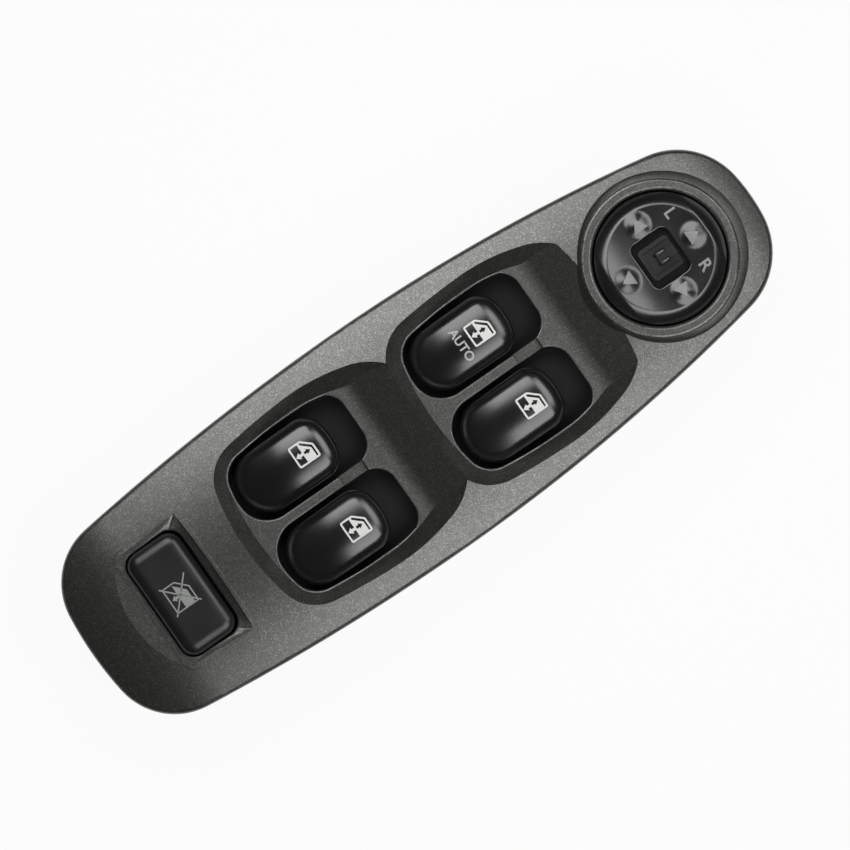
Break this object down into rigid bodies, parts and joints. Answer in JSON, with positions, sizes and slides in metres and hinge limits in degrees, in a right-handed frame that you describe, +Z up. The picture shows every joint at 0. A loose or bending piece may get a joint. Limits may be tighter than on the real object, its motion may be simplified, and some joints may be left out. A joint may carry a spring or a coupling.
{
  "type": "power window switch",
  "caption": "Driver's door master switch: a long domed panel with rocking window knobs in finger pockets, a window lock button and a tilting mirror dial with a left/right selector.",
  "frame": {"origin": "middle of the bounding box, at the height of the lowest face of the module bases", "axes": "+X along the panel towards the mirror dial, the front of the car; +Y to the car's left, +Z up out of the door"},
  "size_m": [0.2412, 0.0756, 0.0421],
  "materials": {
    "panel_grey": "satin with a fine metallic speckle",
    "gloss_black": "gloss",
    "dial_black": "satin",
    "button_black": "satin",
    "carrier_black": "matt",
    "white_resin": "satin",
    "board_green": "lacquered",
    "chip_black": "matt",
    "silicone": "matt",
    "tinned_brass": "tinned",
    "contact_brass": "bright",
    "spring_steel": "bright",
    "screw_steel": "zinc plated"
  },
  "bodies": {
    "panel": {"bezel": "panel_grey", "window_housing": "carrier_black", "window_base": "carrier_black", "window_circuit_board": "board_green", "window_terminals": "tinned_brass", "window_control_chip": "chip_black", "window_dome_mat": "silicone", "lock_spring": "spring_steel", "mirror_housing": "carrier_black", "mirror_base": "carrier_black", "mirror_circuit_board": "board_green", "mirror_terminals": "tinned_brass", "mirror_dome_mat": "silicone", "module_screws": "screw_steel", "panel_clips": "spring_steel"},
    "rear_left_knob": {"rear_left_knob": "gloss_black"},
    "rear_left_rear_pusher": {"rear_left_rear_pusher": "white_resin"},
    "rear_left_front_pusher": {"rear_left_front_pusher": "white_resin"},
    "rear_right_knob": {"rear_right_knob": "gloss_black"},
    "rear_right_rear_pusher": {"rear_right_rear_pusher": "white_resin"},
    "rear_right_front_pusher": {"rear_right_front_pusher": "white_resin"},
    "front_left_knob": {"front_left_knob": "gloss_black"},
    "front_left_rear_pusher": {"front_left_rear_pusher": "white_resin"},
    "front_left_front_pusher": {"front_left_front_pusher": "white_resin"},
    "front_right_knob": {"front_right_knob": "gloss_black"},
    "front_right_rear_pusher": {"front_right_rear_pusher": "white_resin"},
    "front_right_front_pusher": {"front_right_front_pusher": "white_resin"},
    "lock_button": {"lock_button": "button_black"},
    "gimbal_ring": {"gimbal_ring": "white_resin"},
    "mirror_dial": {"mirror_dial": "dial_black"},
    "mirror_front_pusher": {"mirror_front_pusher": "white_resin"},
    "mirror_rear_pusher": {"mirror_rear_pusher": "white_resin"},
    "mirror_left_pusher": {"mirror_left_pusher": "white_resin"},
    "mirror_right_pusher": {"mirror_right_pusher": "white_resin"},
    "mirror_selector": {"mirror_selector": "button_black", "selector_contact": "contact_brass"}
  },
  "joints": [
    {"name": "rear_left_rock", "type": "hinge", "parent": "panel", "child": "rear_left_knob", "pos_m": [-0.045, 0.01365, 0.0255], "axis": [0, 1, 0], "range_deg": [-7, 7], "stiffness_Nm_per_rad": 0.57, "deforming": ["window_dome_mat"]},
    {"name": "rear_left_rear_push", "type": "slide", "parent": "panel", "child": "rear_left_rear_pusher", "axis": [0, 0, 1], "range_m": [-0.00065, 0.00065]},
    {"name": "rear_left_front_push", "type": "slide", "parent": "panel", "child": "rear_left_front_pusher", "axis": [0, 0, 1], "range_m": [-0.00065, 0.00065]},
    {"name": "rear_right_rock", "type": "hinge", "parent": "panel", "child": "rear_right_knob", "pos_m": [-0.045, -0.01365, 0.0255], "axis": [0, 1, 0], "range_deg": [-7, 7], "stiffness_Nm_per_rad": 0.57, "deforming": ["window_dome_mat"]},
    {"name": "rear_right_rear_push", "type": "slide", "parent": "panel", "child": "rear_right_rear_pusher", "axis": [0, 0, 1], "range_m": [-0.00065, 0.00065]},
    {"name": "rear_right_front_push", "type": "slide", "parent": "panel", "child": "rear_right_front_pusher", "axis": [0, 0, 1], "range_m": [-0.00065, 0.00065]},
    {"name": "front_left_rock", "type": "hinge", "parent": "panel", "child": "front_left_knob", "pos_m": [0.0189, 0.01365, 0.0255], "axis": [0, 1, 0], "range_deg": [-7, 7], "stiffness_Nm_per_rad": 0.57, "deforming": ["window_dome_mat"]},
    {"name": "front_left_rear_push", "type": "slide", "parent": "panel", "child": "front_left_rear_pusher", "axis": [0, 0, 1], "range_m": [-0.00065, 0.00065]},
    {"name": "front_left_front_push", "type": "slide", "parent": "panel", "child": "front_left_front_pusher", "axis": [0, 0, 1], "range_m": [-0.00065, 0.00065]},
    {"name": "front_right_rock", "type": "hinge", "parent": "panel", "child": "front_right_knob", "pos_m": [0.0189, -0.01365, 0.0255], "axis": [0, 1, 0], "range_deg": [-7, 7], "stiffness_Nm_per_rad": 0.57, "deforming": ["window_dome_mat"]},
    {"name": "front_right_rear_push", "type": "slide", "parent": "panel", "child": "front_right_rear_pusher", "axis": [0, 0, 1], "range_m": [-0.00065, 0.00065]},
    {"name": "front_right_front_push", "type": "slide", "parent": "panel", "child": "front_right_front_pusher", "axis": [0, 0, 1], "range_m": [-0.00065, 0.00065]},
    {"name": "lock_press", "type": "slide", "parent": "panel", "child": "lock_button", "axis": [0, 0, -1], "range_m": [0, 0.0018], "stiffness_N_per_m": 1500, "springref_m": -0.001, "deforming": ["lock_spring", "window_dome_mat"]},
    {"name": "dial_tilt_sideways", "type": "hinge", "parent": "panel", "child": "gimbal_ring", "pos_m": [0.0869, 0, 0.034], "axis": [1, 0, 0], "range_deg": [-4, 4], "stiffness_Nm_per_rad": 0.3, "deforming": ["mirror_dome_mat"]},
    {"name": "dial_tilt_lengthways", "type": "hinge", "parent": "gimbal_ring", "child": "mirror_dial", "pos_m": [0.0869, 0, 0.034], "axis": [0, 1, 0], "range_deg": [-4, 4], "stiffness_Nm_per_rad": 0.3, "deforming": ["mirror_dome_mat"]},
    {"name": "mirror_front_push", "type": "slide", "parent": "panel", "child": "mirror_front_pusher", "axis": [0, 0, 1], "range_m": [-0.00115, 0.00115]},
    {"name": "mirror_rear_push", "type": "slide", "parent": "panel", "child": "mirror_rear_pusher", "axis": [0, 0, 1], "range_m": [-0.00115, 0.00115]},
    {"name": "mirror_left_push", "type": "slide", "parent": "panel", "child": "mirror_left_pusher", "axis": [0, 0, 1], "range_m": [-0.00115, 0.00115]},
    {"name": "mirror_right_push", "type": "slide", "parent": "panel", "child": "mirror_right_pusher", "axis": [0, 0, 1], "range_m": [-0.00115, 0.00115]},
    {"name": "selector_slide", "type": "slide", "parent": "panel", "child": "mirror_selector", "axis": [0, 1, 0], "range_m": [-0.0017, 0.0017]}
  ],
  "couplings": [
    {"joint": "rear_left_rear_push", "follows": "rear_left_rock", "m_per_rad": 0.005},
    {"joint": "rear_left_front_push", "follows": "rear_left_rock", "m_per_rad": -0.005},
    {"joint": "rear_right_rear_push", "follows": "rear_right_rock", "m_per_rad": 0.005},
    {"joint": "rear_right_front_push", "follows": "rear_right_rock", "m_per_rad": -0.005},
    {"joint": "front_left_rear_push", "follows": "front_left_rock", "m_per_rad": 0.005},
    {"joint": "front_left_front_push", "follows": "front_left_rock", "m_per_rad": -0.005},
    {"joint": "front_right_rear_push", "follows": "front_right_rock", "m_per_rad": 0.005},
    {"joint": "front_right_front_push", "follows": "front_right_rock", "m_per_rad": -0.005},
    {"joint": "mirror_front_push", "follows": "dial_tilt_lengthways", "m_per_rad": -0.0159},
    {"joint": "mirror_rear_push", "follows": "dial_tilt_lengthways", "m_per_rad": 0.0159},
    {"joint": "mirror_left_push", "follows": "dial_tilt_sideways", "m_per_rad": 0.0159},
    {"joint": "mirror_right_push", "follows": "dial_tilt_sideways", "m_per_rad": -0.0159}
  ]
}
